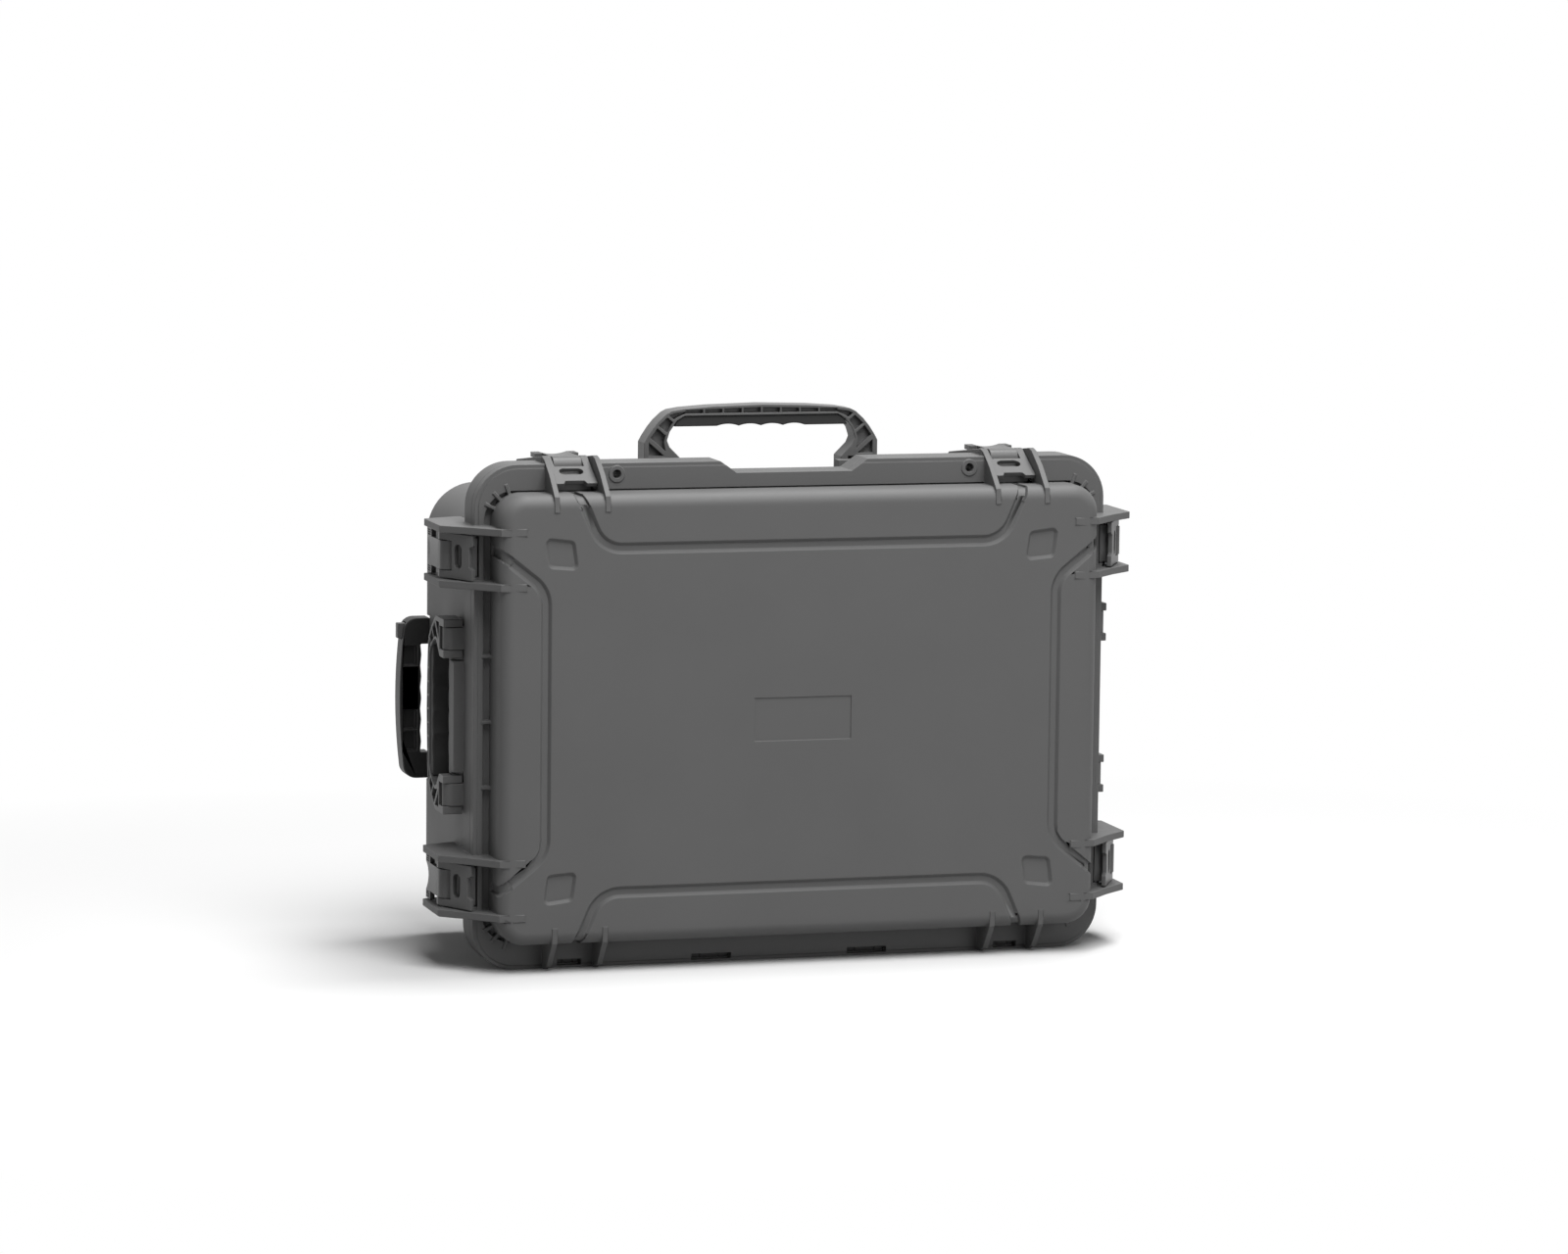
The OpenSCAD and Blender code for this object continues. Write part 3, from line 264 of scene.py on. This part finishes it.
# How far a channel's walls lean out, on the face and beside the lower guards, whose tips are close
slope_run, slope_run_by_guard = 0.0026, 0.0011
guard_x, guard_z, facing_guard = 0.236, 0.13, -0.6
# Where the channels leave the face on the right: a point, the way out, and the axis of the edge
channel_ends = [((0.278, 0.377), (0.781, 0.625), 2), ((0.278, 0.077), (0.781, -0.625), 2),
                ((0.207, 0.428), (0.394, 0.919), 0), ((0.207, 0.027), (0.4, -0.916), 0)]
by_lower_guard = 1
# Each such end: its length and half breadth before it is widened, half its width after, how much
# more that is on the face, and how far in from the point its mouth lies
end_length, end_half = 0.03, 0.0045
half_mouth, half_mouth_by_guard, mouth_flare = 0.0039, 0.0036, 0.0012
mouth_inward = 0.0115


def slope_channels(bm):
    """Spreads the top edges of the channels and recesses in the face, so that their walls slope as
    the tool's draft makes them. Where a channel runs out over the rounded edge it spreads along
    that edge, and less towards the rim."""
    moves, mouths = {}, {}
    for vertex in bm.verts:
        x, y, z = vertex.co
        inset = min(raised_x - abs(x), z - raised_z[0], raised_z[1] - z)
        if inset <= 0:
            continue
        fall = edge_radius - min(inset, edge_radius)
        if abs(y - face_plane - edge_radius + sqrt(edge_radius ** 2 - fall ** 2)) > near_edge:
            continue
        walls = [face for face in vertex.link_faces if abs(face.normal.y) < 0.02
                 and min(v.co.y for v in face.verts) > face_plane - near_plane
                 and max(v.co.y for v in face.verts) > channel_floor - near_plane]
        if not walls:
            continue
        if inset > flat_from:
            feet = [max(v.co.y for v in face.verts) for face in walls]
            if all(abs(foot - channel_floor) < near_plane for foot in feet):
                first, last = walls[0].normal, walls[-1].normal
                beside_guard = (abs(x) > guard_x and z < guard_z
                                and first.z + last.z < facing_guard)
                run = slope_run_by_guard if beside_guard else slope_run
                moves[vertex] = (first + last) * (-run / (1 + first.dot(last)))
            continue
        for index, (end, out, axis) in enumerate(channel_ends):
            along = (abs(x) - end[0]) * out[0] + (z - end[1]) * out[1]
            across = (z - end[1]) * out[0] - (abs(x) - end[0]) * out[1]
            if abs(along) < end_length and abs(across) < end_half:
                half_width = half_mouth + mouth_flare * min(inset / edge_radius, 1)
                if index == by_lower_guard and across > 0:
                    half_width = half_mouth_by_guard
                shift = (half_width - abs(across)) * (1 if across > 0 else -1)
                side = 1 if axis == 2 or x > 0 else -1
                move = Vector((0, 0, 0))
                move[axis] = shift / (out[0] if axis == 2 else -out[1]) * side
                moves[vertex] = move
                if abs(along + mouth_inward) < near_mouth:
                    corner = (x > 0, index, across > 0)
                    mouths.setdefault(corner, []).append((abs(across), vertex.index, vertex))
    for vertex, move in moves.items():
        vertex.co += move
    # The vertices at each corner of a mouth become one, the innermost of them.
    targets = {}
    for found in mouths.values():
        found.sort()
        for other in found[1:]:
            targets[other[2]] = found[0][2]
    bmesh.ops.weld_verts(bm, targetmap=targets)
    bmesh.ops.remove_doubles(bm, verts=bm.verts, dist=near_plane)
    bm.normal_update()


def tight_floors(edge):
    """A smaller radius at the floors of the channels and round the bare field."""
    below_face = face_plane + 5e-4
    sunk = all(below_face < v.co.y < channel_floor + near_plane for v in edge.verts)
    return (channel_foot_radius if sunk else shell_radius) / shell_radius


bm = merged_copy("lid_shell")
bm.normal_update()
slope_channels(bm)
weigh_edges(bm, tight_floors)
lid_moulding = put("lid_moulding", bm, "lid", case_plastic, "case_plastic", "lid_shell")
round_edges(lid_moulding, shell_radius)

# Base moulding: it comes from the CAD as a back and four walls, which meet on flat cuts. The caps
# there go and the borders are welded, so that the moulding is whole, as the real one is.
base_parts = ["base_back", "base_wall_top", "base_wall_bottom", "base_wall_left",
              "base_wall_right"]
back_split = min(v.co.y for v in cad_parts["base_back"].data.vertices)
low_split = max(v.co.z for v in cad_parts["base_wall_bottom"].data.vertices)
high_split = min(v.co.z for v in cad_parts["base_wall_top"].data.vertices)
bm = merged_copy(*base_parts)
caps = [face for face in bm.faces if any(
    all(abs(v.co[axis] - split) < 1e-5 for v in face.verts)
    for axis, split in ((1, back_split), (2, low_split), (2, high_split)))]
bmesh.ops.delete(bm, geom=caps, context="FACES")
bmesh.ops.remove_doubles(bm, verts=bm.verts, dist=2e-5)
join_flats(bm)
weigh_edges(bm)
base_moulding = put("base_moulding", bm, "base", case_plastic, "case_plastic", *base_parts)
round_edges(base_moulding, shell_radius)

# Seal: a ring of soft black rubber, extruded and joined end to end, and pressed into the groove in
# the lid's rim, where the base's rib meets it all round. A bloom on it leaves dull patches.
seal_rubber, tree, place = material("sealing_rubber_extruded")
bloom = add(tree, "ShaderNodeTexNoise", {"Vector": place, "Scale": 90, "Detail": 4}).outputs["Fac"]
dull = add(tree, "ShaderNodeMapRange", {"Value": bloom, "To Min": 0.62, "To Max": 0.82}).outputs[0]
finish_material(tree, add(tree, "ShaderNodeBsdfPrincipled", {"Base Color": linear("#1b1b1c"),
                "Roughness": dull, "IOR": 1.52}).outputs[0])
moulding("seal_cord", "lid_gasket", "lid", seal_rubber, "seal_rubber", 0.0009, segments=3)

# Foam: soft open-cell polyurethane in charcoal. The base holds a plain block, and over it lies the
# laptop's tray, a die-cut layer on a plain backing. The lid holds a convoluted pad, cut into
# rounded peaks by egg-crate rollers.


def open_cell_foam(name, colour, cell):
    """Charcoal foam with pores of the given size in metres, larger than the real 1 mm so that they
    show, with the shade inside each pore painted dark into the colour and the foam dull between."""
    made, tree, place = material(name)
    pores = add(tree, "ShaderNodeTexVoronoi", {"Vector": place, "Scale": 1 / cell,
                "Randomness": 1}).outputs["Distance"]
    # This mask is both the pores' bump height and the painted shade in them, low at each pore's
    # centre.
    pore_height_and_painted_shade = add(tree, "ShaderNodeMapRange",
               {"Value": pores, "From Min": 0.12, "From Max": 0.55}).outputs[0]
    patch = add(tree, "ShaderNodeTexNoise",
                {"Vector": place, "Scale": 30, "Detail": 3}).outputs["Fac"]
    shade = add(tree, "ShaderNodeMapRange",
                {"Value": patch, "To Min": 0.8, "To Max": 1.2}).outputs[0]
    # Painted shade: the pores' centres are mixed towards near-black #161617 for the shade inside
    # the open cells.
    tint_with_painted_pore_shade = add(tree, "ShaderNodeMix", {"Factor": pore_height_and_painted_shade, 6: linear("#161617"), 7: linear(colour)},
               data_type="RGBA").outputs[2]
    base = add(tree, "ShaderNodeMix", {"Factor": 1, 6: tint_with_painted_pore_shade, 7: shade}, data_type="RGBA",
               blend_type="MULTIPLY").outputs[2]
    bump = add(tree, "ShaderNodeBump",
               {"Height": pore_height_and_painted_shade, "Distance": 0.0006, "Strength": 0.8}).outputs[0]
    finish_material(tree, add(tree, "ShaderNodeBsdfPrincipled",
                    {"Base Color": base, "Roughness": 0.95, "IOR": 1.45, "Sheen Weight": 0.15,
                     "Normal": bump}).outputs[0])
    return made


foam = open_cell_foam("polyurethane_foam_open_cell", "#3c3c3f", 0.0014)
tray = moulding("laptop_tray_foam", "laptop_tray", "base", foam, "foam", 0.0018, segments=3)
backing = moulding("tray_backing_foam", "tray_backing", "base", foam, "foam", 0.0012, segments=3)
block = moulding("base_block_foam", "base_foam", "base", foam, "foam", 0.0018, segments=3)

low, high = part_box("lid_foam")
pad = put("lid_pad_blank", merged_copy("lid_foam"), "lid", foam, "foam")
even = pad.modifiers.new("even_faces", "REMESH")
even.mode = "VOXEL"
even.voxel_size = 0.004
scene.view_layers[0].update()
bm = bmesh.new()
bm.from_object(pad, bpy.context.evaluated_depsgraph_get())
bpy.data.objects.remove(pad)
peak_pitch, valley = 0.038, 0.019
plain_edge, edge_fade, peak_gap, top_band = 0.004, 0.014, 0.0006, 0.0015
for vertex in bm.verts:
    x, y, z = vertex.co
    if y > high.y - top_band:
        inset = min(x - low.x, high.x - x, z - low.z, high.z - z)
        fade = min(1, max(0, (inset - plain_edge) / edge_fade))
        dip = 0.5 - 0.25 * (cos(2 * pi * x / peak_pitch) + cos(2 * pi * (z - low.z) / peak_pitch))
        vertex.co.y = high.y - peak_gap - valley * dip * fade
bmesh.ops.smooth_vert(bm, verts=bm.verts, factor=0.5, use_axis_x=True, use_axis_y=True,
                      use_axis_z=True)
pad = put("lid_egg_crate_pad", bm, "lid", foam, "foam", "lid_foam")

# Pins: cut from bright zinc-plated steel rod, driven through the knuckles, the guards and the
# handles' lugs, with their ends just below the plastic.
plated_steel, tree, place = material("steel_rod_zinc_plated")
drawn = add(tree, "ShaderNodeTexNoise",
            {"Vector": place, "Scale": 700, "Detail": 2}).outputs["Fac"]
polish = add(tree, "ShaderNodeMapRange",
             {"Value": drawn, "To Min": 0.26, "To Max": 0.42}).outputs[0]
finish_material(tree, add(tree, "ShaderNodeBsdfPrincipled", {"Base Color": linear("#b9bbbe"),
                "Metallic": 1, "Roughness": polish}).outputs[0])
for node, name in (("hinge_pins", "hinge_rods"), ("latch_pivot_pins", "latch_rods"),
                   ("top_handle_pins", "carrying_handle_rods"),
                   ("side_handle_pins", "side_handle_rods")):
    moulding(name, node, "base", plated_steel, "steel", 0.0003)

# Latches: six alike. Each is a lever on a rod between two guards, and a claw on a second rod in
# the lever, which hooks over the lid's rim and locks past the middle. Both are moulded of a tougher
# plastic, a little darker and glossier than the case.
latch_plastic = satin_plastic("nylon_moulded_satin", "#585858", 0.4, 0.0009, 0.00004)
for where in ("top_left", "top_right", "left_upper", "left_lower", "right_upper", "right_lower"):
    lever, claw, pin = "lever_" + where, "claw_" + where, "claw_pin_" + where
    moulding(lever + "_arm", lever, lever, latch_plastic, "latch_plastic", 0.0005)
    moulding(pin + "_rod", pin, lever, plated_steel, "steel", 0.0003)
    moulding(claw + "_hook", claw, claw, latch_plastic, "latch_plastic", 0.0006)

# Handles: one to carry and one on each side to lift. Each is moulded with open pockets between its
# ribs, front and back, and has a softer grip with finger scallops moulded on under its bar.
handle_plastic = satin_plastic("polypropylene_moulded_handle", "#5c5c5c", 0.44, 0.001, 0.00005)
grip_rubber = satin_plastic("elastomer_overmoulded_matte", "#303030", 0.7, 0.0007, 0.00008)
for name in ("top_handle", "side_handle_left", "side_handle_right"):
    moulding(name + "_frame", name, name, handle_plastic, "handle_plastic", 0.0007)
    moulding(name + "_soft_grip", name + "_grip", name, grip_rubber, "grip_rubber", 0.0012,
             segments=3)

# Trolley handle: a black moulded grip on two anodised aluminium tubes, which slide in plastic
# sleeves in the back of the base, under a screwed cover. A sprung button in the grip frees the lock
# through a rod in the upper tube.
black_plastic = satin_plastic("nylon_moulded_black", "#232323", 0.46, 0.001, 0.00006)
anodised, tree, place = material("aluminium_tube_anodised")
drawing = add(tree, "ShaderNodeMapping", {"Vector": place, "Scale": (6, 900, 900)}).outputs[0]
streak = add(tree, "ShaderNodeTexNoise",
             {"Vector": drawing, "Scale": 1, "Detail": 3}).outputs["Fac"]
satin = add(tree, "ShaderNodeMapRange",
            {"Value": streak, "To Min": 0.28, "To Max": 0.46}).outputs[0]
finish_material(tree, add(tree, "ShaderNodeBsdfPrincipled", {"Base Color": linear("#b4b6b8"),
                "Metallic": 1, "Roughness": satin}).outputs[0])
moulding("pull_grip", "trolley_grip", "trolley", black_plastic, "black_plastic", 0.0012, segments=3)
moulding("pull_tubes", "trolley_tubes", "trolley", anodised, "tube_aluminium", 0.0002)
moulding("tube_sleeves", "trolley_sleeves", "base", black_plastic, "black_plastic", 0.0002)
moulding("sleeve_cover", "trolley_cover", "base", case_plastic, "case_plastic", 0.0004)
moulding("cover_screw_heads", "trolley_cover_screws", "base", plated_steel, "steel", 0.0002)
moulding("release_key", "release_button", "release_button", latch_plastic, "latch_plastic",
         0.0008, segments=3)
moulding("release_wire", "release_rod", "release_button", plated_steel, "steel", 0.0002)

# Wheels: a spoked hub of black plastic with a tyre of hard rubber moulded on, turning on a steel
# axle across its well in the corner of the base. The tyre has three grooves round its tread.
tyre_rubber = satin_plastic("polyurethane_rubber_tyre", "#262626", 0.72, 0.0008, 0.0001)
for where in ("upper", "lower"):
    body, hub, tyre = "wheel_" + where, "wheel_hub_" + where, "wheel_tyre_" + where
    moulding(body + "_spokes", hub, body, black_plastic, "wheel_plastic", 0.0005)
    moulding(body + "_tread", tyre, body, tyre_rubber, "wheel_rubber", 0.0003)
moulding("wheel_axle_rods", "wheel_axles", "base", plated_steel, "steel", 0.0003)

# Feet and pressure valve: four rubber buttons pressed into the back, and under the carrying handle
# a screwed-in valve body with a notched cap, which lets air in and keeps water out.
moulding("feet_buttons", "rubber_feet", "base", seal_rubber, "seal_rubber", 0.0008, segments=3)
moulding("valve_ring", "valve_body", "base", black_plastic, "black_plastic", 0.0004)
moulding("valve_knob", "valve_cap", "base", seal_rubber, "seal_rubber", 0.0004)

scene.view_layers[0].update()
